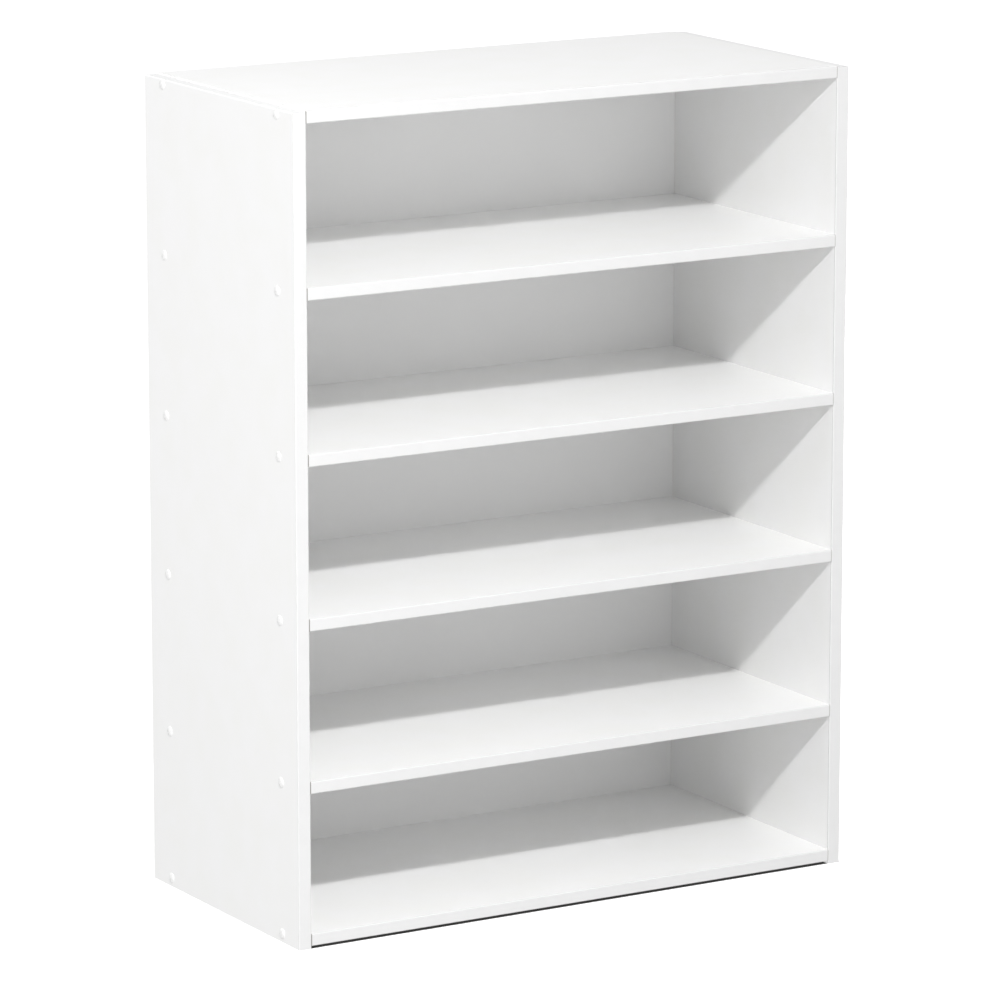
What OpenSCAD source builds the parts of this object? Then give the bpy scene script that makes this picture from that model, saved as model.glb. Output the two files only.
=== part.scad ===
// Five-bay bookcase: two side panels, six fixed horizontal boards and a thin back panel.
// Millimetres. Origin on the floor, midway across the width and the depth.
// +X is the right-hand side, -Y the open front, +Z up.

/* [Case] */
// Width across the outer faces of the side panels
case_w = 612; // [420:1:900]
// Depth from the front edges to the rear edges of the side panels
case_d = 296; // [220:1:420]
// Height of the side panels
side_h = 796.5; // [660:0.5:1100]

/* [Boards] */
// Thickness of the side panels
side_t = 13.5; // [12:0.1:19]
// Thickness of the top, the shelves and the bottom
board_t = 12; // [10:0.1:19]
// Thickness of the back panel
back_t = 3; // [2:0.1:5]

/* [Levels] */
// Gap between the floor and the bottom panel
floor_gap = 2.5; // [1:0.5:60]
// Clear height of the lowest bay
bottom_bay_h = 136; // [80:0.5:180]
// Clear height of each of the three middle bays
middle_bay_h = 144.7; // [80:0.1:180]
// Height of the top panel's upper face above the side panels
top_proud = 1; // [0.4:0.1:2]

/* [Back panel fit] */
// Width of the rebates that the back panel sits in
rebate_w = 6.5; // [5:0.1:8]
// Distance from the rear edges of the side panels to the back panel
back_inset = 0.5; // [0.5:0.1:3]
// Clearance between the back panel's edges and its rebates
back_clear = 0.5; // [0.2:0.1:1]

/* [Edge bands] */
// Thickness of the edge bands
band_t = 1.5; // [0.8:0.05:3]
// Radius of the rounded arrises of the edge bands
arris_r = 1.2; // [0.4:0.05:2.5]

/* [Screws and caps] */
// Distance from the front edge to the front screws
screw_from_front = 33; // [20:1:60]
// Distance from the rear edge to the rear screws
screw_from_back = 37; // [20:1:60]
// Length of a screw
screw_len = 50; // [35:1:70]
// Diameter of a screw's shank and thread
screw_d = 5; // [4:0.1:6]
// Diameter of a screw's countersunk head
head_d = 8; // [7:0.1:9]
// Height of a screw's conical head
head_h = 2.6; // [2:0.1:4]
// Distance from the outer face of a side panel to a screw's head
head_recess = 0.3; // [0.1:0.1:1]
// Width across the flats of a screw's hexagonal socket
socket_w = 3.5; // [2.5:0.1:4]
// Depth of a screw's hexagonal socket
socket_depth = 2.2; // [1.6:0.1:4]
// Radial clearance of a shank in the side panel
shank_clear = 0.1; // [0.05:0.05:0.5]
// Diameter of a cover cap
cap_d = 10; // [9.5:0.1:12]
// Height of a cover cap above the side panel
cap_rise = 1.1; // [0.6:0.1:2]
// Height of a cover cap's straight rim
cap_rim_h = 0.5; // [0.2:0.1:0.5]
// Width of the bevel around a cover cap's face
cap_bevel = 0.7; // [0.3:0.1:1.5]
// Length of a cover cap's stem inside the screw's socket
stem_len = 1.5; // [1:0.1:1.5]

/* [Nails] */
// Diameter of a nail
nail_d = 1.4; // [1:0.1:2]
// Length of a nail under its head
nail_len = 18; // [12:1:25]
// Diameter of a nail's head
nail_head_d = 3; // [2.5:0.1:4]
// Thickness of a nail's head
nail_head_t = 0.4; // [0.2:0.1:0.4]
// Number of nails along each horizontal board
nails_per_board = 4; // [2:1:8]
// Distance from a side panel's inner face to the first nail of a row
nail_margin = 30; // [20:1:80]

/* [Hidden] */
$fn = 48;
shelf_count = 4;

// Gap that keeps two driven or pressed surfaces from sharing volume
touch = 0.02;

front_y = -case_d / 2;
rear_y = case_d / 2;
outer_x = case_w / 2;
inner_x = outer_x - side_t;
inner_w = 2 * inner_x;
nose_r = min(arris_r, band_t - 0.1);

back_front_y = rear_y - back_inset - back_t;
rebate_depth = back_inset + back_t;

pitch = board_t + middle_bay_h;
bottom_z = floor_gap;
first_shelf_z = bottom_z + board_t + bottom_bay_h;
top_z = side_h + top_proud - board_t;
function shelf_z(n) = first_shelf_z + (n - 1) * pitch;
level_zs = [bottom_z, for (n = [1 : shelf_count]) shelf_z(n), top_z];
last_level = len(level_zs) - 1;

back_x = inner_x + rebate_w - back_clear;
back_top_z = top_z + rebate_w - back_clear;

screw_ys = [front_y + screw_from_front, rear_y - screw_from_back];
screw_r = screw_d / 2;
screw_tip_h = 3;
screw_tip_r = 1;
socket_d = socket_w / cos(30);
stem_d = socket_d - 2 * touch;

nail_pitch = (inner_w - 2 * nail_margin) / (nails_per_board - 1);
nail_xs = [for (i = [0 : nails_per_board - 1]) i * nail_pitch - inner_x + nail_margin];
lap_mid = (rebate_w - back_clear) / 2;
function nail_z(i) = i == last_level ? level_zs[i] + lap_mid : level_zs[i] + board_t / 2;
function bay_mid_z(i) = (level_zs[i] + board_t + level_zs[i + 1]) / 2;

laminate_white = "white";
band_white = "whitesmoke";
hardboard_brown = "burlywood";
cap_white = "snow";
zinc = "silver";
nail_steel = "lightslategray";

// ---- Helpers ----

// Copies its children to the right-hand side as well as the left.
module both_sides() {
    children();
    mirror([1, 0, 0]) children();
}

// Turns a shape that is drawn along +Z so that it points along +X.
module along_x() {
    rotate([0, 90, 0]) children();
}

// Turns a shape that is drawn along +Z so that it points along -Y.
module along_minus_y() {
    rotate([90, 0, 0]) children();
}

// A w by h rectangle whose two upper corners are round.
module round_topped(w, h, r) {
    square([w, h - r]);
    translate([r, 0]) square([w - 2 * r, h]);
    intersection() {
        for (x = [r, w - r]) translate([x, h - r]) circle(r);
        square([w, h]);
    }
}

// A bar of depth d and height h, w wide along X, whose upper long arrises are round.
// It starts at the origin and runs along +Y.
module round_topped_bar(w, h, d, r) {
    translate([0, d, 0]) along_minus_y() linear_extrude(d) round_topped(w, h, r);
}

// A strip of edge band, w wide, whose two front arrises are round, drawn up from z = 0.
module nosed_strip(w, length) {
    translate([0, band_t, 0]) mirror([0, 1, 0])
        linear_extrude(length) round_topped(w, band_t, nose_r);
}

// ---- Screws, caps and nails ----

// One screw: origin at the middle of its head's face, pointing along +X.
module screw() {
    shank_l = screw_len - head_h - screw_tip_h;
    along_x() difference() {
        union() {
            cylinder(h = head_h, r1 = head_d / 2, r2 = screw_r);
            translate([0, 0, head_h]) cylinder(h = shank_l, r = screw_r);
            translate([0, 0, head_h + shank_l])
                cylinder(h = screw_tip_h, r1 = screw_r, r2 = screw_tip_r);
        }
        cylinder(h = socket_depth, d = socket_d, $fn = 6);
    }
}

// The countersunk clearance hole for one screw in a side panel.
module side_hole() {
    along_x() {
        translate([0, 0, -head_recess]) cylinder(h = head_recess, d = head_d);
        cylinder(h = head_h, r1 = head_d / 2, r2 = screw_r);
        cylinder(h = side_t, r = screw_r + shank_clear);
    }
}

// The pilot hole for one screw in the end of a horizontal board.
module pilot_hole() {
    along_x() cylinder(h = screw_len + head_recess, r = screw_r + touch);
}

// One cover cap: its face points along -X, and its stem along +X.
module cap() {
    stem_l = head_recess + stem_len;
    rotate([0, -90, 0]) {
        cylinder(h = cap_rim_h, d = cap_d);
        translate([0, 0, cap_rim_h])
            cylinder(h = cap_rise - cap_rim_h, r1 = cap_d / 2, r2 = cap_d / 2 - cap_bevel);
    }
    along_x() cylinder(h = stem_l, d = stem_d, $fn = 6);
}

// Places its children at the two left-hand screws of level i.
module at_left_screws(i) {
    for (y = screw_ys)
        translate([-outer_x + head_recess, y, level_zs[i] + board_t / 2]) children();
}

module level_screws(i) {
    color(zinc) both_sides() at_left_screws(i) screw();
}

module left_caps() {
    for (i = [0 : last_level])
        translate([-head_recess, 0, 0]) at_left_screws(i) cap();
}

// A nail's shank, from the rear face of the back panel along -Y.
module nail_shank(extra) {
    along_minus_y() cylinder(h = nail_len + extra, r = nail_d / 2 + extra);
}

module nail() {
    nail_shank(0);
    along_minus_y() translate([0, 0, -nail_head_t]) cylinder(h = nail_head_t, d = nail_head_d);
}

// Places its children at the nails of horizontal board i.
module at_board_nails(i) {
    for (x = nail_xs) translate([x, rear_y - back_inset, nail_z(i)]) children();
}

// Places its children at the nails of the left side panel, one behind each bay.
module at_left_nails() {
    for (i = [0 : last_level - 1])
        translate([-inner_x - lap_mid, rear_y - back_inset, bay_mid_z(i)]) children();
}

// ---- Boards ----

module left_side_board() {
    rebate_top_z = top_z + rebate_w;
    difference() {
        translate([-outer_x, front_y + band_t, 0]) cube([side_t, case_d - band_t, side_h - band_t]);
        translate([-inner_x - rebate_w, back_front_y, -1])
            cube([rebate_w + 1, rebate_depth + 1, rebate_top_z + 1]);
        for (i = [0 : last_level]) at_left_screws(i) side_hole();
        at_left_nails() nail_shank(touch);
    }
}

module left_side() {
    color(laminate_white) left_side_board();
}

module right_side() {
    color(laminate_white) mirror([1, 0, 0]) left_side_board();
}

// A horizontal board with its pilot holes and nail holes, from its band to rear plane y.
module board(i, y) {
    translate([-inner_x, front_y + band_t, level_zs[i]])
        cube([inner_w, y - front_y - band_t, board_t]);
}

module board_holes(i) {
    both_sides() at_left_screws(i) pilot_hole();
    at_board_nails(i) nail_shank(touch);
}

module inner_board(i) {
    color(laminate_white) difference() {
        board(i, back_front_y);
        board_holes(i);
    }
}

module bottom_panel() {
    inner_board(0);
}

module shelf(n) {
    inner_board(n);
}

// The top reaches the rear plane and covers the back panel's upper edge.
module top_panel() {
    depth = case_d - band_t;
    color(laminate_white) difference() {
        translate([-inner_x, front_y + band_t, top_z])
            round_topped_bar(inner_w, board_t, depth, top_proud);
        translate([-inner_x - 1, back_front_y, top_z - 1])
            cube([inner_w + 2, rebate_depth + 1, rebate_w + 1]);
        board_holes(last_level);
    }
}

module back_panel() {
    color(hardboard_brown) difference() {
        translate([-back_x, back_front_y, bottom_z]) cube([2 * back_x, back_t, back_top_z - bottom_z]);
        for (i = [0 : last_level]) at_board_nails(i) nail_shank(touch);
        both_sides() at_left_nails() nail_shank(touch);
    }
}

// ---- Edge bands ----

// The band on a side panel's front edge, full height, with a rounded upper end.
module left_front_strip() {
    translate([-outer_x, front_y, 0]) intersection() {
        nosed_strip(side_t, side_h);
        round_topped_bar(side_t, side_h, band_t, nose_r);
    }
}

// The band on a side panel's upper edge, behind the front band. The top screws' countersinks
// cut into it.
module left_top_strip() {
    difference() {
        translate([-outer_x, front_y + band_t, side_h - band_t])
            round_topped_bar(side_t, band_t, case_d - band_t, nose_r);
        at_left_screws(last_level) side_hole();
    }
}

module left_front_band() {
    color(band_white) left_front_strip();
}

module right_front_band() {
    color(band_white) mirror([1, 0, 0]) left_front_strip();
}

module left_top_band() {
    color(band_white) left_top_strip();
}

module right_top_band() {
    color(band_white) mirror([1, 0, 0]) left_top_strip();
}

// The band on the front edge of horizontal board i.
module board_strip(i) {
    translate([-inner_x, front_y, level_zs[i] + board_t]) along_x() nosed_strip(board_t, inner_w);
}

module board_band(i) {
    color(band_white) board_strip(i);
}

// The top panel's band is rounded at its upper ends, as the panel is.
module top_panel_band() {
    color(band_white) intersection() {
        board_strip(last_level);
        translate([-inner_x, front_y, top_z]) round_topped_bar(inner_w, board_t, band_t, top_proud);
    }
}

// ---- Fasteners by node ----

module left_screw_caps() {
    color(cap_white) left_caps();
}

module right_screw_caps() {
    color(cap_white) mirror([1, 0, 0]) left_caps();
}

module back_nails() {
    color(nail_steel) {
        for (i = [0 : last_level]) at_board_nails(i) nail();
        both_sides() at_left_nails() nail();
    }
}

left_side();
right_side();
top_panel();
shelf(4);  // shelf_4
shelf(3);  // shelf_3
shelf(2);  // shelf_2
shelf(1);  // shelf_1
bottom_panel();
back_panel();
left_front_band();
right_front_band();
left_top_band();
right_top_band();
top_panel_band();
board_band(4);  // shelf_4_band
board_band(3);  // shelf_3_band
board_band(2);  // shelf_2_band
board_band(1);  // shelf_1_band
board_band(0);  // bottom_panel_band
level_screws(last_level);  // top_panel_screws
level_screws(4);  // shelf_4_screws
level_screws(3);  // shelf_3_screws
level_screws(2);  // shelf_2_screws
level_screws(1);  // shelf_1_screws
level_screws(0);  // bottom_panel_screws
left_screw_caps();
right_screw_caps();
back_nails();
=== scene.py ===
"""Looks of a white five-bay bookcase: melamine boards, edge bands, a hardboard back and its fittings.

The boards, bands and back panel are the frame's own solids, dressed here with finishes. The cover
caps, assembly screws and panel nails are modelled here in place of their plain solids.
"""

import logging
import math
from dataclasses import dataclass, field
from enum import Enum
from typing import Callable, Sequence

import bmesh
import bpy
from mathutils import Matrix, Vector


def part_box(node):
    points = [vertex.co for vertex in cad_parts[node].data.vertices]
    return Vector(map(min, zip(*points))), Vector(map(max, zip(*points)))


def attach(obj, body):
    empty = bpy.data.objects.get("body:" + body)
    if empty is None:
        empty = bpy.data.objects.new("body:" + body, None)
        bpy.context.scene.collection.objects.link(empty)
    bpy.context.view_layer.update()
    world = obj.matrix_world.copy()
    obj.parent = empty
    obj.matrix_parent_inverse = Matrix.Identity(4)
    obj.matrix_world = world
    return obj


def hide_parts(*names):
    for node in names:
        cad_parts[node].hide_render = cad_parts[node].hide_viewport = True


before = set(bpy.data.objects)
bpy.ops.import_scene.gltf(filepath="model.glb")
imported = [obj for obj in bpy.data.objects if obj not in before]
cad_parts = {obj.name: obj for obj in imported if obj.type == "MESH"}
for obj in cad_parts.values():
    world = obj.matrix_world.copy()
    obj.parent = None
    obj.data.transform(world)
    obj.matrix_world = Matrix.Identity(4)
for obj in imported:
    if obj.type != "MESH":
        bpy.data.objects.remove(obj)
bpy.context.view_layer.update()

log = logging.getLogger("bookcase")

MM = 0.001
LEVELS = ("bottom_panel", "shelf_1", "shelf_2", "shelf_3", "shelf_4", "top_panel")

# From a side panel's front and rear edges to its screws and their caps.
FRONT_INSET = 33.0 * MM
REAR_INSET = 37.0 * MM

# A face looks along an axis where that part of its normal is over the first number, and lies along the
# axis where it is under the second.
FACING = 0.5
EDGE_ON = 0.3

# Half waves in a wave texture for each unit of its scale.
HALF_WAVES = 6.3

# The largest bend between two faces that is shaded smooth.
SOFT_BEND = math.radians(32)


class Side(Enum):
    """The two ends of the bookcase, by the direction that each one faces."""

    LEFT = -1.0
    RIGHT = 1.0


class Lie(Enum):
    """How a board lies, by the axis that its laminated faces look along."""

    UPRIGHT = "X"
    LEVEL = "Z"


# ---- Small helpers ----


def linear(hex_colour: str) -> tuple[float, float, float, float]:
    """Turns an sRGB hex colour into the linear colour that a shader needs.

    Args:
        hex_colour: six hex digits after a hash sign.

    Returns:
        Linear red, green, blue and an alpha of 1.
    """
    parts = [int(hex_colour[i : i + 2], 16) / 255 for i in (1, 3, 5)]
    red, green, blue = (c / 12.92 if c <= 0.04045 else ((c + 0.055) / 1.055) ** 2.4 for c in parts)
    return red, green, blue, 1.0


def per_metre(size_mm: float) -> float:
    """Gives the texture scale, in cycles a metre, of a pattern of that size."""
    return 1000.0 / size_mm


def add(
    tree: bpy.types.NodeTree,
    kind: str,
    feeds: dict | None = None,
    stops: Sequence[tuple[float, str]] = (),
    **settings: object,
) -> bpy.types.Node:
    """Adds one node with its settings and what feeds its inputs.

    Args:
        tree: the node tree that it joins.
        kind: the node's type, without the words ShaderNode.
        feeds: for an input's name or number, its value or the output that it takes.
        stops: for a colour ramp, its places from 0 to 1 with their hex colours, in order.
        **settings: the node's own properties.

    Returns:
        The new node.
    """
    node = tree.nodes.new("ShaderNode" + kind)
    for name, value in settings.items():
        setattr(node, name, value)
    for key, value in (feeds or {}).items():
        if isinstance(value, bpy.types.NodeSocket):
            tree.links.new(value, node.inputs[key])
        else:
            node.inputs[key].default_value = value
    for index, (place, colour) in enumerate(stops):
        marks = node.color_ramp.elements
        mark = marks[index] if index < len(marks) else marks.new(place)
        mark.position, mark.color = place, linear(colour)
    return node


def start_material(name: str) -> tuple[bpy.types.Material, bpy.types.NodeTree, bpy.types.Node]:
    """Makes an empty node material with a principled shader.

    Args:
        name: the material's name.

    Returns:
        The material, its node tree and its shader.
    """
    material = bpy.data.materials.new(name)
    material.use_nodes = True
    tree = material.node_tree
    tree.nodes.clear()
    shader = add(tree, "BsdfPrincipled")
    add(tree, "OutputMaterial", {"Surface": shader.outputs["BSDF"]})
    return material, tree, shader


def feed_shader(
    tree: bpy.types.NodeTree,
    shader: bpy.types.Node,
    colour: bpy.types.NodeSocket,
    roughness: bpy.types.NodeSocket,
    relief: bpy.types.NodeSocket,
    depth: bpy.types.NodeSocket | float,
) -> None:
    """Feeds a shader its colour, its roughness and its relief.

    Args:
        tree: the node tree that they are in.
        shader: the principled shader.
        colour: the surface's colour.
        roughness: its roughness.
        relief: its relief, from 0 to 1.
        depth: how deep the relief is, in metres.
    """
    bump = add(tree, "Bump", {"Height": relief, "Distance": depth, "Strength": 1.0})
    tree.links.new(colour, shader.inputs["Base Color"])
    tree.links.new(roughness, shader.inputs["Roughness"])
    tree.links.new(bump.outputs["Normal"], shader.inputs["Normal"])


def wear(piece: bpy.types.Object, material: bpy.types.Material) -> None:
    """Gives a piece one material in place of any it had."""
    piece.data.materials.clear()
    piece.data.materials.append(material)


def dress_nodes(names: Sequence[str], material: bpy.types.Material) -> None:
    """Dresses CAD nodes in one material, as they are, and reports each.

    Args:
        names: the nodes.
        material: their finish.
    """
    for name in names:
        wear(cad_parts[name], material)
        log.info("%s: %s", name, material.name)


# ---- Finishes ----


@dataclass(frozen=True)
class MelamineBoard:
    """White melamine-faced chipboard: pressed decor paper on its faces and bare chips where it is cut.

    Attributes:
        lie: the way the board's laminated faces look.
        white: the paper's colour.
        shade: the paper's colour where its fibres lie thicker.
        satin: the least and greatest roughness of the pressed face.
        cut_roughness: the roughness of a cut edge.
        pebble_mm: size of the pressed pebble.
        pebble_depth_mm: its depth.
        mottle_mm: size of the cloudy patches in the paper.
        chip_mm: length of a wood chip in a cut edge.
        chip_drift_mm: how far the chips' outlines wander.
        chip_stretch: how much the chips are packed along each axis.
        chip_depth_mm: depth of the pits between the chips.
        rear_mm: depth behind which the inner faces are cut away for the back panel.
        crown_mm: height above which the top panel's rounded ends show, pressed white.
        ior: its index of refraction.
    """

    lie: Lie
    white: str
    shade: str
    satin: tuple[float, float] = (0.37, 0.48)
    cut_roughness: float = 0.86
    pebble_mm: float = 2.6
    pebble_depth_mm: float = 0.012
    mottle_mm: float = 38.0
    chip_mm: float = 2.2
    chip_drift_mm: float = 1.6
    chip_stretch: tuple[float, float, float] = (1.0, 0.45, 0.6)
    chip_depth_mm: float = 0.25
    rear_mm: float = 144.45
    crown_mm: float = 795.2
    ior: float = 1.5

    def make(self) -> bpy.types.Material:
        """Makes the board's material.

        Returns:
            A satin white on the laminated faces and bare chipboard on the cut ones.
        """
        material, tree, shader = start_material(f"melamine_faced_chipboard_{self.lie.name.lower()}")
        spot = add(tree, "TexCoord").outputs["Object"]
        # Pressed paper: clouds far paler than the eye looks for, and a satin that breaks up a highlight.
        scale = per_metre(self.mottle_mm)
        clouds = add(tree, "TexNoise", {"Vector": spot, "Scale": scale, "Detail": 4.0}).outputs["Fac"]
        stops = [(0.35, self.shade), (0.62, self.white)]
        paper = add(tree, "ValToRGB", {"Fac": clouds}, stops).outputs["Color"]
        span = {"Value": clouds, "To Min": self.satin[0], "To Max": self.satin[1]}
        satin = add(tree, "MapRange", span).outputs["Result"]
        # The plate's pebble is about 0.6 mm; it is drawn at 2.6 mm, as coarse as it has to be to show.
        scale = per_metre(self.pebble_mm)
        pebble = add(tree, "TexNoise", {"Vector": spot, "Scale": scale, "Detail": 2.0}).outputs["Fac"]
        core, pits = self._chips(tree, spot)
        bare = self._cut_faces(tree, spot)
        colour = add(tree, "MixRGB", {"Fac": bare, "Color1": paper, "Color2": core})
        feeds = {"Factor": bare, "A": satin, "B": self.cut_roughness}
        rough = add(tree, "Mix", feeds, data_type="FLOAT")
        relief = add(tree, "Mix", {"Factor": bare, "A": pebble, "B": pits}, data_type="FLOAT")
        span = {"Value": bare, "To Min": self.pebble_depth_mm * MM, "To Max": self.chip_depth_mm * MM}
        depth = add(tree, "MapRange", span).outputs["Result"]
        feed_shader(tree, shader, colour.outputs["Color"], rough.outputs[0], relief.outputs[0], depth)
        shader.inputs["IOR"].default_value = self.ior
        return material

    def _chips(
        self, tree: bpy.types.NodeTree, spot: bpy.types.NodeSocket
    ) -> tuple[bpy.types.NodeSocket, bpy.types.NodeSocket]:
        """Draws pressed wood chips, each with its own brown, and the pits between them.

        Args:
            tree: the node tree that they join.
            spot: where the surface is.

        Returns:
            The chips' colour and their height.
        """
        scale = per_metre(self.chip_mm * 3)
        stir = add(tree, "TexNoise", {"Vector": spot, "Scale": scale, "Detail": 2.0}).outputs["Color"]
        drift = add(tree, "VectorMath", {0: stir, "Scale": self.chip_drift_mm * MM}, operation="SCALE")
        bent = add(tree, "VectorMath", {0: spot, 1: drift.outputs[0]}, operation="ADD")
        flat = add(tree, "Mapping", {"Vector": bent.outputs[0], "Scale": self.chip_stretch})
        chips = add(tree, "TexVoronoi", {"Vector": flat.outputs[0], "Scale": per_metre(self.chip_mm)})
        tone = add(tree, "SeparateColor", {"Color": chips.outputs["Color"]})
        browns = [
            (0.0, "#8A6B49"),
            (0.18, "#B08F65"),
            (0.55, "#CBAE84"),
            (0.85, "#D9C19C"),
            (1.0, "#A07A50"),
        ]
        colour = add(tree, "ValToRGB", {"Fac": tone.outputs["Red"]}, browns).outputs["Color"]
        feeds = {0: tone.outputs["Green"], 1: chips.outputs["Distance"]}
        return colour, add(tree, "Math", feeds, operation="MULTIPLY").outputs[0]

    def _cut_faces(self, tree: bpy.types.NodeTree, spot: bpy.types.NodeSocket) -> bpy.types.NodeSocket:
        """Finds the faces that the saw and the rebate cutter left bare.

        Args:
            tree: the node tree that it joins.
            spot: where the surface is.

        Returns:
            1 on a bare face and 0 on a laminated one.
        """
        facing = add(tree, "SeparateXYZ", {0: add(tree, "NewGeometry").outputs["True Normal"]})
        place = add(tree, "SeparateXYZ", {0: spot})
        along = facing.outputs[self.lie.value]
        size = add(tree, "Math", {0: along}, operation="ABSOLUTE")
        sideways = add(tree, "Math", {0: size.outputs[0], 1: EDGE_ON}, operation="LESS_THAN")
        below = add(tree, "Math", {0: place.outputs["Z"], 1: self.crown_mm * MM}, operation="LESS_THAN")
        rearward = add(tree, "Math", {0: facing.outputs["Y"], 1: FACING}, operation="GREATER_THAN")
        unpressed = add(tree, "Math", {0: below.outputs[0], 1: rearward.outputs[0]}, operation="MAXIMUM")
        sawn = add(tree, "Math", {0: sideways.outputs[0], 1: unpressed.outputs[0]}, operation="MULTIPLY")
        outward = along
        if self.lie is Lie.UPRIGHT:
            feeds = {0: along, 1: place.outputs["X"]}
            outward = add(tree, "Math", feeds, operation="MULTIPLY").outputs[0]
        inner = add(tree, "Math", {0: outward, 1: 0.0}, operation="LESS_THAN")
        feeds = {0: place.outputs["Y"], 1: self.rear_mm * MM}
        behind = add(tree, "Math", feeds, operation="GREATER_THAN")
        rebate = add(tree, "Math", {0: inner.outputs[0], 1: behind.outputs[0]}, operation="MULTIPLY")
        bare = add(tree, "Math", {0: sawn.outputs[0], 1: rebate.outputs[0]}, operation="MAXIMUM")
        return bare.outputs[0]


@dataclass(frozen=True)
class EdgeBanding:
    """White ABS edge band: extruded strip, scraped flush, a little glossier than the board it covers.

    Attributes:
        place: the name of the edges that it covers.
        white: the strip's colour.
        dull: its colour in the faint draw lines.
        satin: its least and greatest roughness.
        chatter_mm: spacing of the scraper's faint waves.
        draw_mm: spacing of the draw lines left by the extrusion.
        draw_depth_mm: their depth.
        draw_stretch: how long they run along each axis, as a share of their spacing.
        joint_shade_mm: width of the painted shade line at the ends of the strips between the side
            panels, which stands in for the shadow in the hairline gap there.
        joint_shade_paint: the painted shade line's colour.
        ior: its index of refraction.
    """

    place: str
    white: str
    dull: str
    satin: tuple[float, float] = (0.28, 0.4)
    chatter_mm: float = 7.0
    draw_mm: float = 2.0
    draw_depth_mm: float = 0.02
    draw_stretch: tuple[float, float, float] = (0.12, 1.0, 0.12)
    # Painted shade: the joint line is a darker line that stands in for the shadow in the hairline gap
    # where a strip meets a side panel.
    joint_shade_mm: float = 0.5
    joint_shade_paint: str = "#A9A7A3"
    ior: float = 1.52

    def make(self) -> bpy.types.Material:
        """Makes the band's material.

        Returns:
            A clean white with faint scraper waves along its arrises.
        """
        material, tree, shader = start_material(f"scraped_abs_{self.place}_band")
        spot = add(tree, "TexCoord").outputs["Object"]
        streak = add(tree, "Mapping", {"Vector": spot, "Scale": self.draw_stretch}).outputs["Vector"]
        scale = per_metre(self.draw_mm)
        drawn = add(tree, "TexNoise", {"Vector": streak, "Scale": scale, "Detail": 3.0}).outputs["Fac"]
        stops = [(0.3, self.dull), (0.6, self.white)]
        strip = add(tree, "ValToRGB", {"Fac": drawn}, stops).outputs["Color"]
        # Painted shade at the strips' ends, standing in for the shadow in the hairline gap against the
        # side panels.
        joint_shade_mask = self._painted_joint_shade(tree, spot)
        colour = add(tree, "MixRGB", {"Fac": joint_shade_mask, "Color1": strip, "Color2": linear(self.joint_shade_paint)})
        scale = per_metre(self.chatter_mm)
        waves = add(tree, "TexNoise", {"Vector": spot, "Scale": scale, "Detail": 1.0}).outputs["Fac"]
        span = {"Value": waves, "To Min": self.satin[0], "To Max": self.satin[1]}
        satin = add(tree, "MapRange", span).outputs["Result"]
        feed_shader(tree, shader, colour.outputs["Color"], satin, drawn, self.draw_depth_mm * MM)
        shader.inputs["IOR"].default_value = self.ior
        return material

    def _painted_joint_shade(self, tree: bpy.types.NodeTree, spot: bpy.types.NodeSocket) -> bpy.types.NodeSocket:
        """Finds where a strip ends against a side panel's own band, for a line of painted shade that
        stands in for the shadow in the hairline gap there.

        Args:
            tree: the node tree that it joins.
            spot: where the surface is.

        Returns:
            1 on the painted shade line and 0 elsewhere.
        """
        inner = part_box("right_side")[0].x
        across = add(tree, "SeparateXYZ", {0: spot}).outputs["X"]
        reach = add(tree, "Math", {0: across}, operation="ABSOLUTE").outputs[0]
        past = add(tree, "Math", {0: reach, 1: inner - self.joint_shade_mm * MM}, operation="GREATER_THAN")
        short = add(tree, "Math", {0: reach, 1: inner + 0.001 * MM}, operation="LESS_THAN")
        joint_shade_mask = add(tree, "Math", {0: past.outputs[0], 1: short.outputs[0]}, operation="MULTIPLY")
        return joint_shade_mask.outputs[0]


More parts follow.
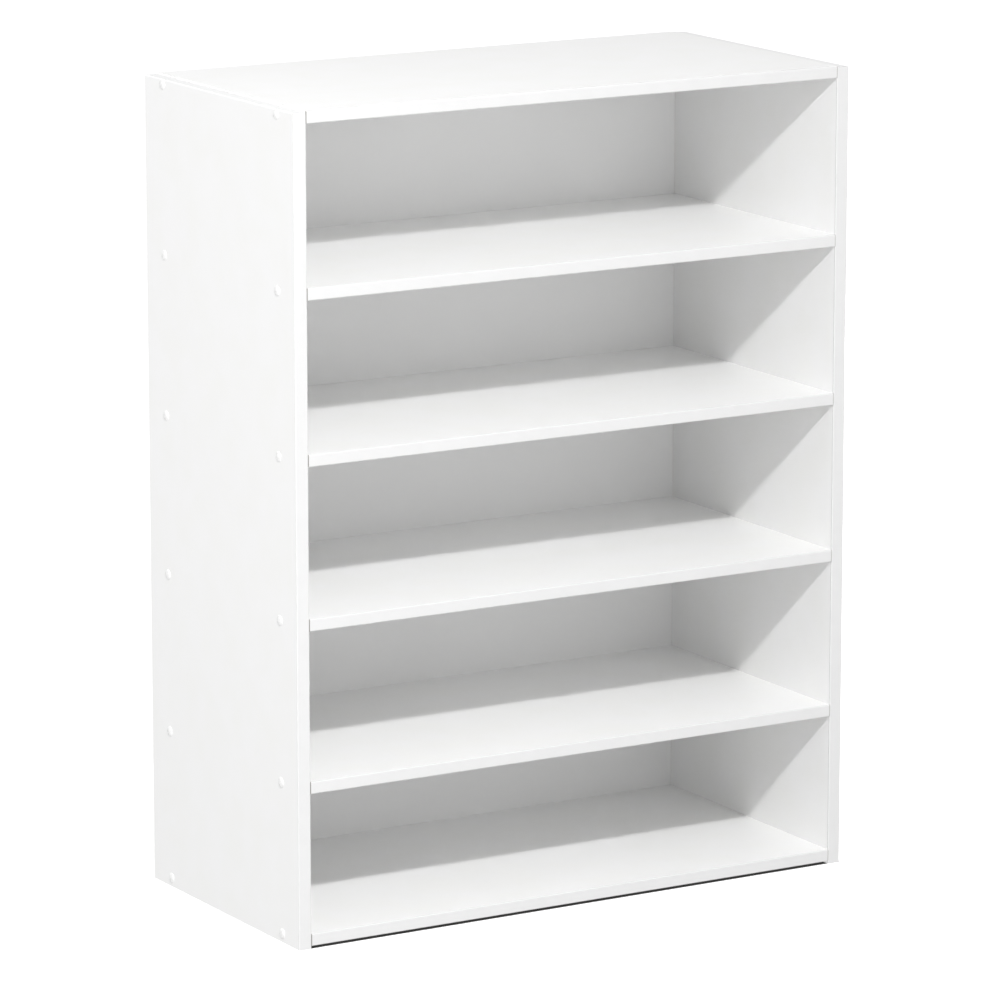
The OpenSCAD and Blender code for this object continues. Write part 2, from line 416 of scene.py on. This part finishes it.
@dataclass(frozen=True)
class Hardboard:
    """Thin hardboard: white lacquer rolled on the bays' side, brown fibre with a screen's print behind.

    Attributes:
        lacquer: the lacquer's colour.
        lacquer_shade: its colour where it was rolled thinner.
        roll_mm: size of the roller's faint clouds.
        roll_depth_mm: their depth.
        fibre: the bare fibre's colour.
        fibre_dark: its colour in the hollows.
        fibre_pale: its colour on the proud hairs.
        fibre_mm: thickness of a bundle of fibres.
        fibre_stretch: how much the bundles run along each axis, as a share of their thickness.
        mesh_mm: width of one wire's mark in the press screen's print.
        mesh_depth_mm: depth of the print.
        lacquer_roughness: the lacquer's satin.
        fibre_roughness: the bare side's dullness.
        ior: its index of refraction.
    """

    lacquer: str = "#FCFCFC"
    lacquer_shade: str = "#FAFAFA"
    roll_mm: float = 55.0
    roll_depth_mm: float = 0.05
    fibre: str = "#876A4B"
    fibre_dark: str = "#6E5237"
    fibre_pale: str = "#9C7F5C"
    fibre_mm: float = 1.5
    fibre_stretch: tuple[float, float, float] = (0.35, 1.0, 1.0)
    mesh_mm: float = 2.4
    mesh_depth_mm: float = 0.12
    lacquer_roughness: float = 0.5
    fibre_roughness: float = 0.82
    ior: float = 1.5

    def make(self) -> bpy.types.Material:
        """Makes the back panel's material.

        Returns:
            White on the face that looks into the bays and brown elsewhere.
        """
        material, tree, shader = start_material("lacquered_hardboard")
        spot = add(tree, "TexCoord").outputs["Object"]
        facing = add(tree, "SeparateXYZ", {0: add(tree, "NewGeometry").outputs["True Normal"]})
        feeds = {0: facing.outputs["Y"], 1: -FACING}
        bare = add(tree, "Math", feeds, operation="GREATER_THAN").outputs[0]
        # Rolled lacquer: smooth, with clouds that only a raking light shows.
        scale = per_metre(self.roll_mm)
        clouds = add(tree, "TexNoise", {"Vector": spot, "Scale": scale, "Detail": 4.0}).outputs["Fac"]
        stops = [(0.35, self.lacquer_shade), (0.62, self.lacquer)]
        white = add(tree, "ValToRGB", {"Fac": clouds}, stops).outputs["Color"]
        # Bare side: matted hairs with the square print of the screen that they dried on. A real screen's
        # wire is about 1 mm; its mark is drawn at 2.4 mm, as coarse as it has to be to show.
        hair = add(tree, "Mapping", {"Vector": spot, "Scale": self.fibre_stretch}).outputs["Vector"]
        feeds = {"Vector": hair, "Scale": per_metre(self.fibre_mm), "Detail": 6.0, "Distortion": 0.6}
        fibres = add(tree, "TexNoise", feeds).outputs["Fac"]
        stops = [(0.3, self.fibre_dark), (0.5, self.fibre), (0.72, self.fibre_pale)]
        brown = add(tree, "ValToRGB", {"Fac": fibres}, stops).outputs["Color"]
        turned = add(tree, "Mapping", {"Vector": spot, "Rotation": (0.0, math.radians(45), 0.0)})
        feeds = {"Vector": turned.outputs["Vector"], "Scale": per_metre(self.mesh_mm) / HALF_WAVES}
        warp, weft = (add(tree, "TexWave", feeds, bands_direction=way).outputs["Fac"] for way in "XZ")
        screen = add(tree, "Math", {0: warp, 1: weft}, operation="MULTIPLY")
        pressed = add(tree, "Math", {0: screen.outputs[0], 1: fibres}, operation="ADD").outputs[0]
        colour = add(tree, "MixRGB", {"Fac": bare, "Color1": white, "Color2": brown}).outputs["Color"]
        feeds = {"Factor": bare, "A": self.lacquer_roughness, "B": self.fibre_roughness}
        rough = add(tree, "Mix", feeds, data_type="FLOAT")
        relief = add(tree, "Mix", {"Factor": bare, "A": clouds, "B": pressed}, data_type="FLOAT")
        span = {"Value": bare, "To Min": self.roll_depth_mm * MM, "To Max": self.mesh_depth_mm * MM}
        depth = add(tree, "MapRange", span).outputs["Result"]
        feed_shader(tree, shader, colour, rough.outputs[0], relief.outputs[0], depth)
        shader.inputs["IOR"].default_value = self.ior
        return material


@dataclass(frozen=True)
class GrainedSolid:
    """A small fitting's material: a body colour that drifts to another, with its satin and bump.

    Attributes:
        name: what it is and how it was made.
        stops: its colours, from the drift's low end to its high end.
        patch_mm: size of the colour's patches.
        patch_detail: how ragged they are.
        satin_mm: size of the changes in its satin.
        satin_detail: how ragged those are.
        satin: its roughness at their low and high ends.
        bump_mm: depth of the bump that goes with them.
        metallic: whether it is a metal.
        ior: its index of refraction.
    """

    name: str
    stops: tuple[tuple[float, str], ...]
    patch_mm: float
    patch_detail: float
    satin_mm: float
    satin_detail: float
    satin: tuple[float, float]
    bump_mm: float
    metallic: bool = False
    ior: float = 1.5

    def make(self) -> bpy.types.Material:
        """Makes the fitting's material.

        Returns:
            The material, for one kind of fitting.
        """
        material, tree, shader = start_material(self.name)
        spot = add(tree, "TexCoord").outputs["Object"]
        scale = per_metre(self.patch_mm)
        patches = add(tree, "TexNoise", {"Vector": spot, "Scale": scale, "Detail": self.patch_detail})
        colour = add(tree, "ValToRGB", {"Fac": patches.outputs["Fac"]}, self.stops).outputs["Color"]
        scale = per_metre(self.satin_mm)
        feeds = {"Vector": spot, "Scale": scale, "Detail": self.satin_detail}
        fine = add(tree, "TexNoise", feeds).outputs["Fac"]
        span = {"Value": fine, "To Min": self.satin[0], "To Max": self.satin[1]}
        satin = add(tree, "MapRange", span).outputs["Result"]
        feed_shader(tree, shader, colour, satin, fine, self.bump_mm * MM)
        if self.metallic:
            shader.inputs["Metallic"].default_value = 1.0
        else:
            shader.inputs["IOR"].default_value = self.ior
        return material


# White polyethylene, injection moulded: softly glossy and slightly milky, with faint flow ripples.
MOULDED_CAP = GrainedSolid(
    name="moulded_polyethylene",
    stops=((0.3, "#F4F4F3"), (0.6, "#F9F9F9")),
    patch_mm=3.0,
    patch_detail=2.0,
    satin_mm=3.0,
    satin_detail=2.0,
    satin=(0.21, 0.34),
    bump_mm=0.03,
    ior=1.51,
)

# Zinc plate on steel: cool grey with patches of warm passivation, its shine softened by fine scratches.
ZINC_SCREW = GrainedSolid(
    name="zinc_plated_steel",
    stops=((0.4, "#C4C7C9"), (0.7, "#CFC9AE")),
    patch_mm=4.0,
    patch_detail=3.0,
    satin_mm=0.5,
    satin_detail=2.0,
    satin=(0.22, 0.45),
    bump_mm=0.02,
    metallic=True,
)

# Drawn steel wire: bright grey with fine flecks, darker and duller, where the drawing soap stayed.
DRAWN_NAIL = GrainedSolid(
    name="drawn_steel_wire",
    stops=((0.35, "#85878A"), (0.55, "#B9BCBF")),
    patch_mm=0.9,
    patch_detail=4.0,
    satin_mm=0.9,
    satin_detail=4.0,
    satin=(0.48, 0.26),
    bump_mm=0.03,
    metallic=True,
)


@dataclass(frozen=True)
class PaperFloor:
    """Matt white background paper on a light table: even and shineless, with painted shade under the
    bookcase.

    Attributes:
        white: the paper's colour.
        shade: its colour in the faint clouds.
        cloud_mm: size of the faint clouds.
        glow: brightness of the light through the paper.
        fringe_mm: distance outside the bookcase's footprint over which the glow comes up.
        under_shadow_paint: colour of the painted shade under the bookcase, which the gap under the
            bottom panel shows.
        under_shadow_inset_mm: distance of the painted shade's edge inside the footprint.
        roughness: the paper's dullness.
        shine: its faint specular level.
    """

    white: str = "#FCFCFC"
    shade: str = "#FAFAFA"
    cloud_mm: float = 400.0
    glow: float = 0.75
    fringe_mm: float = 4.0
    under_shadow_paint: str = "#3C3B3A"
    under_shadow_inset_mm: float = 1.0
    roughness: float = 0.95
    shine: float = 0.1

    def make(self) -> bpy.types.Material:
        """Makes the paper's material.

        Returns:
            A white that stays clean in the bookcase's shadow, with painted shade in the gap under it.
        """
        material, tree, shader = start_material("matt_background_paper")
        spot = add(tree, "TexCoord").outputs["Object"]
        scale = per_metre(self.cloud_mm)
        cloud = add(tree, "TexNoise", {"Vector": spot, "Scale": scale, "Detail": 3.0}).outputs["Fac"]
        stops = [(0.4, self.shade), (0.6, self.white)]
        paper = add(tree, "ValToRGB", {"Fac": cloud}, stops).outputs["Color"]
        place, corner = add(tree, "SeparateXYZ", {0: spot}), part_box("right_side")[1]
        gaps = []
        for axis, half in (("X", corner.x), ("Y", corner.y)):
            off = add(tree, "Math", {0: place.outputs[axis]}, operation="ABSOLUTE").outputs[0]
            gaps.append(add(tree, "Math", {0: off, 1: half}, operation="SUBTRACT").outputs[0])
        outside = add(tree, "Math", dict(enumerate(gaps)), operation="MAXIMUM").outputs[0]
        span = {"Value": outside, "From Max": self.fringe_mm * MM, "To Max": self.glow}
        light = add(tree, "MapRange", span).outputs["Result"]
        # Painted shade: the paper under the bookcase is painted dark, so that the gap under the bottom
        # panel reads as shadow.
        under = add(tree, "Math", {0: outside, 1: -self.under_shadow_inset_mm * MM}, operation="LESS_THAN")
        feeds = {"Fac": under.outputs[0], "Color1": paper, "Color2": linear(self.under_shadow_paint)}
        colour = add(tree, "MixRGB", feeds).outputs["Color"]
        tree.links.new(colour, shader.inputs["Base Color"])
        tree.links.new(light, shader.inputs["Emission Strength"])
        shader.inputs["Emission Color"].default_value = linear("#FFFFFF")
        shader.inputs["Roughness"].default_value = self.roughness
        shader.inputs["Specular IOR Level"].default_value = self.shine
        return material


# ---- Mesh work ----


def spun(profile: list[tuple[float, float]], steps: int) -> bmesh.types.BMesh:
    """Turns a profile round the X axis into a closed solid.

    Args:
        profile: points as (distance along X, radius), in metres, from one end of the axis to the other.
        steps: how many facets go round.

    Returns:
        The solid as a new bmesh.
    """
    bm = bmesh.new()
    points = [bm.verts.new((x, 0.0, r)) for x, r in profile]
    edges = [bm.edges.new(pair) for pair in zip(points, points[1:])]
    bmesh.ops.spin(
        bm,
        geom=points + edges,
        cent=(0, 0, 0),
        axis=(1, 0, 0),
        angle=math.tau,
        steps=steps,
        use_merge=True,
        use_duplicate=False,
    )
    bmesh.ops.remove_doubles(bm, verts=bm.verts, dist=0.001 * MM)
    bmesh.ops.recalc_face_normals(bm, faces=bm.faces)
    return bm


def join_into(target: bmesh.types.BMesh, source: bmesh.types.BMesh, place: Matrix) -> None:
    """Copies one bmesh into another at a place.

    Args:
        target: the bmesh that grows.
        source: the bmesh that is copied.
        place: where the copy goes; a mirrored copy has its faces turned outwards again.
    """
    mesh = bpy.data.meshes.new("spare")
    source.to_mesh(mesh)
    mesh.transform(place)
    if place.is_negative:
        mesh.flip_normals()
    target.from_mesh(mesh)
    bpy.data.meshes.remove(mesh)


def finished_piece(name: str, bm: bmesh.types.BMesh) -> bpy.types.Object:
    """Turns a bmesh into a smooth-shaded object whose sharper edges stay crisp.

    Args:
        name: the object's name.
        bm: its shape, which is freed.

    Returns:
        The object, in the scene.
    """
    for face in bm.faces:
        face.smooth = True
    for edge in bm.edges:
        edge.smooth = edge.is_manifold and edge.calc_face_angle(0.0) < SOFT_BEND
    mesh = bpy.data.meshes.new(name)
    bm.to_mesh(mesh)
    bm.free()
    piece = bpy.data.objects.new(name, mesh)
    bpy.context.scene.collection.objects.link(piece)
    return piece


def stand_in(piece: bpy.types.Object, node: str, material: bpy.types.Material) -> None:
    """Puts a modelled piece in a CAD node's place.

    Args:
        piece: the modelled piece.
        node: the CAD node that it stands for.
        material: its finish.
    """
    wear(piece, material)
    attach(piece, "root")
    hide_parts(node)
    log.info("%s: %d faces, for %s", piece.name, len(piece.data.polygons), node)


def fixing_points(level: str) -> list[tuple[float, float]]:
    """Finds where the screws of one level go in.

    Args:
        level: the board's node name.

    Returns:
        The screws' (y, z), at the middle of the board's thickness.
    """
    low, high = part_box(level)
    front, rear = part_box("left_front_band")[0].y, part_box("left_side")[1].y
    z = (low.z + high.z) / 2
    return [(front + FRONT_INSET, z), (rear - REAR_INSET, z)]


def facing_side(side: Side, y: float, z: float, depth: float) -> Matrix:
    """Places a fitting drawn along +X, inwards from the side panel's outer face.

    Args:
        side: the side panel that it goes into.
        y: its place along the depth.
        z: its height.
        depth: how far inside the outer face its origin lies.

    Returns:
        The matrix that takes it there, mirrored for the right-hand side.
    """
    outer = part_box("left_side")[0].x
    left = Matrix.Translation((outer + depth, y, z))
    return left if side is Side.LEFT else Matrix.Diagonal((-1, 1, 1, 1)) @ left


# ---- Sub-assemblies ----


@dataclass
class Carcass:
    """The side panels, level boards and back panel, dressed as they are.

    Attributes:
        uprights: nodes of the side panels.
        levels: nodes of the level boards.
        back: node of the back panel.
    """

    uprights: tuple[str, ...] = ("left_side", "right_side")
    levels: tuple[str, ...] = LEVELS
    back: str = "back_panel"

    def dress(self) -> None:
        """Gives the boards their melamine, the level ones painted whiter and the side panels duller as
        painted light and shade, and the back its hardboard.
        """
        # Painted light and shade: one melamine in two tones, whiter on the level boards and duller on
        # the side panels, for how the light falls on each.
        dress_nodes(self.uprights, MelamineBoard(Lie.UPRIGHT, "#F6F6F6", "#F5F5F4").make())
        dress_nodes(self.levels, MelamineBoard(Lie.LEVEL, "#FCFCFC", "#FBFBFA").make())
        dress_nodes((self.back,), Hardboard().make())


@dataclass
class EdgeBands:
    """The ten strips of edge band on the front edges and on the side panels' upper edges.

    Attributes:
        fronts: nodes of the strips on the front edges.
        tops: nodes of the strips on the side panels' upper edges.
    """

    fronts: tuple[str, ...] = (
        *(f"{level}_band" for level in LEVELS),
        "left_front_band",
        "right_front_band",
    )
    tops: tuple[str, ...] = ("left_top_band", "right_top_band")

    def dress(self) -> None:
        """Gives the front strips and the upper strips their bands, the front ones painted darker than
        the upper ones as painted shade.
        """
        # Painted shade: the front strips are a darker copy of the upper strips' white, for the light
        # that falls on the front edges.
        dress_nodes(self.fronts, EdgeBanding("front", "#E6E6E6", "#E4E4E4").make())
        dress_nodes(self.tops, EdgeBanding("top", "#F9F9F9", "#F7F7F7").make())


@dataclass
class CoverCaps:
    """The push-in caps that hide the screws: a shallow dome with a soft rim and a hexagonal stem.

    Attributes:
        side: the side panel that they are on.
        width: diameter of a cap.
        rise: height of its crown above the panel.
        dome_radius: radius of the sphere that its face is part of.
        rings: where the dome's rings lie, as shares of the cap's radius.
        rim: the rim's outline down to the panel and in, as shares of the cap's radius and of its rise.
        stem_length: length of the stem below the panel's face.
        stem_width: diameter across the stem's corners.
        stem_root: how far the stem goes up into the dome.
        tip_bevel: width of the bevel round the stem's tip.
        steps: facets round a cap.
    """

    side: Side
    width: float = 10.0 * MM
    rise: float = 1.1 * MM
    dome_radius: float = 18.0 * MM
    rings: tuple[float, ...] = (0.0, 0.2, 0.4, 0.6, 0.75, 0.88)
    rim: tuple[tuple[float, float], ...] = (
        (0.95, 0.4),
        (0.985, 0.25),
        (1.0, 0.1),
        (1.0, 0.0),
        (0.0, 0.0),
    )
    stem_length: float = 1.8 * MM
    stem_width: float = 4.0 * MM
    stem_root: float = 0.44 * MM
    tip_bevel: float = 0.3 * MM
    steps: int = 40

    def shape(self) -> bmesh.types.BMesh:
        """Turns one cap, its face towards -X.

        Returns:
            The cap as a bmesh.
        """
        radius = self.width / 2
        crown = []
        for ring in self.rings:
            out = ring * radius
            crown.append((out, self.rise - out**2 / (2 * self.dome_radius)))
        rim = [(out * radius, up * self.rise) for out, up in self.rim]
        cap = spun([(-height, reach) for reach, height in crown + rim], self.steps)
        stem, round_stem = bmesh.new(), self.stem_width / 2
        bmesh.ops.create_cone(
            stem,
            cap_ends=True,
            segments=6,
            radius1=round_stem,
            radius2=round_stem,
            depth=self.stem_length + self.stem_root,
        )
        tip = [e for e in stem.edges if all(v.co.z > 0 for v in e.verts)]
        bmesh.ops.bevel(
            stem, geom=tip, offset=self.tip_bevel, segments=2, profile=0.5, affect="EDGES", material=-1
        )
        bmesh.ops.translate(stem, verts=stem.verts, vec=(0, 0, (self.stem_length - self.stem_root) / 2))
        join_into(cap, stem, Matrix.Rotation(math.radians(90), 4, "Y"))
        stem.free()
        return cap

    def build(self) -> None:
        """Makes the twelve caps of this side panel as one piece."""
        cap, row = self.shape(), bmesh.new()
        for level in LEVELS:
            for y, z in fixing_points(level):
                join_into(row, cap, facing_side(self.side, y, z, 0.0))
        cap.free()
        name = self.side.name.lower()
        piece = finished_piece(f"{name}_cover_caps", row)
        stand_in(piece, f"{name}_screw_caps", MOULDED_CAP.make())


@dataclass
class AssemblyScrews:
    """The connector screws of a level: countersunk head, plain neck, coarse thread and blunt tip.

    Attributes:
        head_width: diameter of the head.
        head_height: height of its cone.
        head_edge: width and height of the small bevel round the head's face.
        neck_width: diameter of the plain neck.
        neck_end: where the neck ends, from the head's face.
        neck_taper: length over which it narrows to the core.
        core_width: diameter under the thread.
        thread_width: diameter over the thread.
        thread_foot: how far the thread's ridge is sunk into the core.
        thread_half: half of the ridge's width at its foot.
        thread_gap: distance from the neck's end to the first ridge.
        thread_steps: facets in one turn of the thread.
        pitch: distance between turns of the thread.
        length: overall length.
        tip_length: length of the tip's cone.
        tip_width: diameter of its flat end.
        socket_width: width across the socket's flats.
        socket_depth: depth of its walls.
        socket_cone: depth of the cone at its bottom.
        recess: how far the head's face lies below the side panel's face.
        steps: facets round a screw.
    """

    head_width: float = 8.0 * MM
    head_height: float = 2.6 * MM
    head_edge: tuple[float, float] = (0.15 * MM, 0.12 * MM)
    neck_width: float = 5.0 * MM
    neck_end: float = 14.0 * MM
    neck_taper: float = 0.6 * MM
    core_width: float = 3.9 * MM
    thread_width: float = 5.0 * MM
    thread_foot: float = 0.1 * MM
    thread_half: float = 0.55 * MM
    thread_gap: float = 2.0 * MM
    thread_steps: int = 12
    pitch: float = 2.8 * MM
    length: float = 50.0 * MM
    tip_length: float = 3.0 * MM
    tip_width: float = 2.0 * MM
    socket_width: float = 3.5 * MM
    socket_depth: float = 2.2 * MM
    socket_cone: float = 0.4 * MM
    recess: float = 0.3 * MM
    steps: int = 24

    def shape(self) -> bmesh.types.BMesh:
        """Turns one screw with its thread, its head's face at the origin and its length along +X.

        Returns:
            The screw as a bmesh.
        """
        core, neck, head = self.core_width / 2, self.neck_width / 2, self.head_width / 2
        tip, flat = self.length - self.tip_length, self.socket_width / 2
        corner = flat / math.cos(math.radians(30))
        profile = [
            (self.socket_depth + self.socket_cone, 0.0),
            (self.socket_depth, corner),
            (0.0, corner),
            (0.0, head - self.head_edge[0]),
            (self.head_edge[1], head),
            (self.head_height, neck),
            (self.neck_end, neck),
            (self.neck_end + self.neck_taper, core),
            (tip, core),
            (self.length, self.tip_width / 2),
            (self.length, 0.0),
        ]
        bm = spun(profile, self.steps)
        for vert in bm.verts:
            out = math.hypot(vert.co.y, vert.co.z)
            # The socket is turned round, and its walls are then drawn in to six flats.
            if vert.co.x <= self.socket_depth + 0.001 * MM and 0 < out < corner * 1.01:
                turn = math.atan2(vert.co.y, vert.co.z)
                off = (turn + math.radians(30)) % math.radians(60) - math.radians(30)
                reach = flat / math.cos(off)
                vert.co.y, vert.co.z = reach * math.sin(turn), reach * math.cos(turn)
        ridge = self._thread(tip)
        join_into(bm, ridge, Matrix.Identity(4))
        ridge.free()
        return bm

    def _thread(self, tip: float) -> bmesh.types.BMesh:
        """Sweeps the thread's three-sided ridge round the core.

        Args:
            tip: where the thread ends along X.

        Returns:
            The ridge as a closed bmesh.
        """
        bm = bmesh.new()
        start, half = self.neck_end + self.thread_gap, self.thread_half
        foot, crest = self.core_width / 2 - self.thread_foot, self.thread_width / 2
        places = ((start - half, 0, foot), (start, 0, crest), (start + half, 0, foot))
        first = bm.faces.new([bm.verts.new(place) for place in places])
        turns = int((tip - start - half) / self.pitch)
        bmesh.ops.spin(
            bm,
            geom=[first, *first.edges, *first.verts],
            cent=(0, 0, 0),
            axis=(1, 0, 0),
            dvec=(self.pitch / self.thread_steps, 0, 0),
            angle=math.tau * turns,
            steps=turns * self.thread_steps,
            use_duplicate=False,
        )
        bmesh.ops.recalc_face_normals(bm, faces=bm.faces)
        return bm

    def build(self) -> None:
        """Makes the four screws of each level as one piece."""
        material = ZINC_SCREW.make()
        screw = self.shape()
        for level in LEVELS:
            row = bmesh.new()
            for side in Side:
                for y, z in fixing_points(level):
                    join_into(row, screw, facing_side(side, y, z, self.recess))
            piece = finished_piece(f"{level}_connector_screws", row)
            stand_in(piece, f"{level}_screws", material)
        screw.free()


@dataclass
class PanelNails:
    """The flat-headed nails that hold the back panel.

    Attributes:
        head_width: diameter of a head.
        head_height: its thickness.
        head_rim: the head's outline from its face to its underside, as shares of its height and radius.
        wire: diameter of the shank.
        length: length under the head.
        point_start: where the point begins, as a share of the length.
        per_board: nails along each level board.
        margin: distance from a side panel's inner face to the first nail.
        lap: distance from a side panel's inner face to its nails.
        steps: facets round a nail.
    """

    head_width: float = 3.0 * MM
    head_height: float = 0.4 * MM
    head_rim: tuple[tuple[float, float], ...] = (
        (1.0, 0.0),
        (1.0, 0.7),
        (0.72, 0.94),
        (0.35, 1.0),
        (0.0, 0.97),
    )
    wire: float = 1.4 * MM
    length: float = 18.0 * MM
    point_start: float = 0.9
    per_board: int = 4
    margin: float = 30.0 * MM
    lap: float = 3.0 * MM
    steps: int = 16

    def shape(self) -> bmesh.types.BMesh:
        """Turns one nail, its head's underside at the origin and its length along +X.

        Returns:
            The nail as a bmesh.
        """
        wire = self.wire / 2
        head = [(-up * self.head_height, out * self.head_width / 2) for up, out in self.head_rim]
        shank = [(0.0, wire), (self.point_start * self.length, wire), (self.length, 0.0)]
        return spun(head + shank, self.steps)

    def places(self) -> list[tuple[float, float]]:
        """Works out where the nails go.

        Returns:
            The nails' (x, z) on the back panel.
        """
        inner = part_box("right_side")[0].x
        back_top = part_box("back_panel")[1].z
        step = 2 * (inner - self.margin) / (self.per_board - 1)
        spots = []
        for level in LEVELS:
            low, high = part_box(level)
            z = (low.z + back_top) / 2 if level == "top_panel" else (low.z + high.z) / 2
            spots += [(i * step - inner + self.margin, z) for i in range(self.per_board)]
        for below, above in zip(LEVELS, LEVELS[1:]):
            z = (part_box(below)[1].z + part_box(above)[0].z) / 2
            spots += [(x, z) for x in (-inner - self.lap, inner + self.lap)]
        return spots

    def build(self) -> None:
        """Makes all the nails as one piece."""
        nail, rows = self.shape(), bmesh.new()
        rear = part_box("back_panel")[1].y
        inwards = Matrix.Rotation(math.radians(-90), 4, "Z")
        for x, z in self.places():
            join_into(rows, nail, Matrix.Translation((x, rear, z)) @ inwards)
        nail.free()
        stand_in(finished_piece("panel_nails", rows), "back_nails", DRAWN_NAIL.make())


# ---- Studio ----


@dataclass
class SoftLight:
    """One soft box: where it hangs, how big it is and how bright.

    Attributes:
        name: its name.
        place: its centre.
        aim: the point it faces.
        size: its width and height.
        power: its watts.
    """

    name: str
    place: tuple[float, float, float]
    aim: tuple[float, float, float]
    size: tuple[float, float]
    power: float

    def hang(self) -> None:
        """Hangs the light."""
        lamp = bpy.data.lights.new(self.name, "AREA")
        lamp.shape = "RECTANGLE"
        lamp.size, lamp.size_y = self.size
        lamp.energy = self.power
        box = bpy.data.objects.new(self.name, lamp)
        box.location = self.place
        box.rotation_euler = (Vector(self.aim) - Vector(self.place)).to_track_quat("-Z", "Y").to_euler()
        bpy.context.scene.collection.objects.link(box)


@dataclass
class Studio:
    """A white paper floor and wall, soft lights and the camera.

    Attributes:
        floor_width: side of the square of paper.
        floor_cells: how many squares the floor has along a side.
        wall_radius: radius of the round paper wall, which only low views see.
        wall_height: its height.
        wall_sink: how far its lower edge goes below the floor.
        wall_sides: how many flats go round it.
        camera_place: where the camera stands.
        camera_turn: its turn about the upright, in degrees, towards -X.
        camera_dip: how far it looks down, in degrees.
        camera_sight: how far it sees, in metres.
        lens: its focal length in millimetres.
        sensor: its sensor's width in millimetres.
        surround: brightness of the even white surround.
        lights: the soft boxes.
    """

    floor_width: float = 40.0
    floor_cells: int = 8
    wall_radius: float = 19.2
    wall_height: float = 16.0
    wall_sink: float = 0.16
    wall_sides: int = 96
    camera_place: tuple[float, float, float] = (-2.8913, -4.8807, 1.5901)
    camera_turn: float = 30.657
    camera_dip: float = 12.10
    camera_sight: float = 100.0
    lens: float = 213.97
    sensor: float = 36.0
    surround: float = 0.63
    lights: list[SoftLight] = field(
        default_factory=lambda: [
            SoftLight("key_softbox", (-1.15, -2.89, 2.70), (-2.75, -1.2, 0.8), (0.16, 0.16), 154.0),
            SoftLight("side_softbox", (-3.2, 0.0, 1.2), (0.0, 0.0, 0.4), (2.0, 2.0), 23.0),
            SoftLight("rear_softbox", (2.4, 2.2, 0.5), (0.0, 0.0, 0.45), (0.6, 0.5), 34.0),
        ]
    )

    def lay_paper(self) -> None:
        """Lays the paper floor and hangs the round paper wall, neither of which lights the bookcase."""
        paper = PaperFloor().make()
        flat, wall = bmesh.new(), bmesh.new()
        cells, radius = self.floor_cells, self.wall_radius
        bmesh.ops.create_grid(flat, x_segments=cells, y_segments=cells, size=self.floor_width / 2)
        bmesh.ops.create_cone(
            wall, segments=self.wall_sides, radius1=radius, radius2=radius, depth=self.wall_height
        )
        lift = self.wall_height / 2 - self.wall_sink
        bmesh.ops.translate(wall, verts=wall.verts, vec=(0.0, 0.0, lift))
        bmesh.ops.recalc_face_normals(wall, faces=wall.faces)
        for name, sheet, casts_shadow in (("paper_floor", flat, True), ("paper_wall", wall, False)):
            piece = finished_piece(name, sheet)
            wear(piece, paper)
            piece.visible_diffuse = False
            piece.visible_glossy = False
            piece.visible_shadow = casts_shadow

    def light(self) -> None:
        """Hangs the lights and the white surround, and shows tones as they are."""
        for soft_light in self.lights:
            soft_light.hang()
        world = bpy.data.worlds.new("white_surround")
        bpy.context.scene.world = world
        world.use_nodes = True
        sky = world.node_tree.nodes["Background"]
        sky.inputs["Color"].default_value = linear("#FFFFFF")
        sky.inputs["Strength"].default_value = self.surround
        bpy.context.scene.view_settings.view_transform = "Standard"

    def set_camera(self) -> None:
        """Stands the camera and makes it the scene's own."""
        data = bpy.data.cameras.new("view_camera")
        data.lens, data.sensor_width = self.lens, self.sensor
        data.clip_end = self.camera_sight
        camera = bpy.data.objects.new("view_camera", data)
        camera.location = self.camera_place
        tilt, turn = math.radians(90 - self.camera_dip), math.radians(-self.camera_turn)
        camera.rotation_euler = (tilt, 0.0, turn)
        bpy.context.scene.collection.objects.link(camera)
        bpy.context.scene.camera = camera


def main() -> None:
    """Builds and dresses the bookcase, then sets up the studio."""
    logging.basicConfig(level=logging.INFO, format="%(message)s")
    studio = Studio()
    steps: tuple[Callable[[], None], ...] = (
        Carcass().dress,
        EdgeBands().dress,
        CoverCaps(Side.LEFT).build,
        CoverCaps(Side.RIGHT).build,
        AssemblyScrews().build,
        PanelNails().build,
        studio.lay_paper,
        studio.light,
        studio.set_camera,
    )
    for step in steps:
        step()


if __name__ == "__main__":
    main()
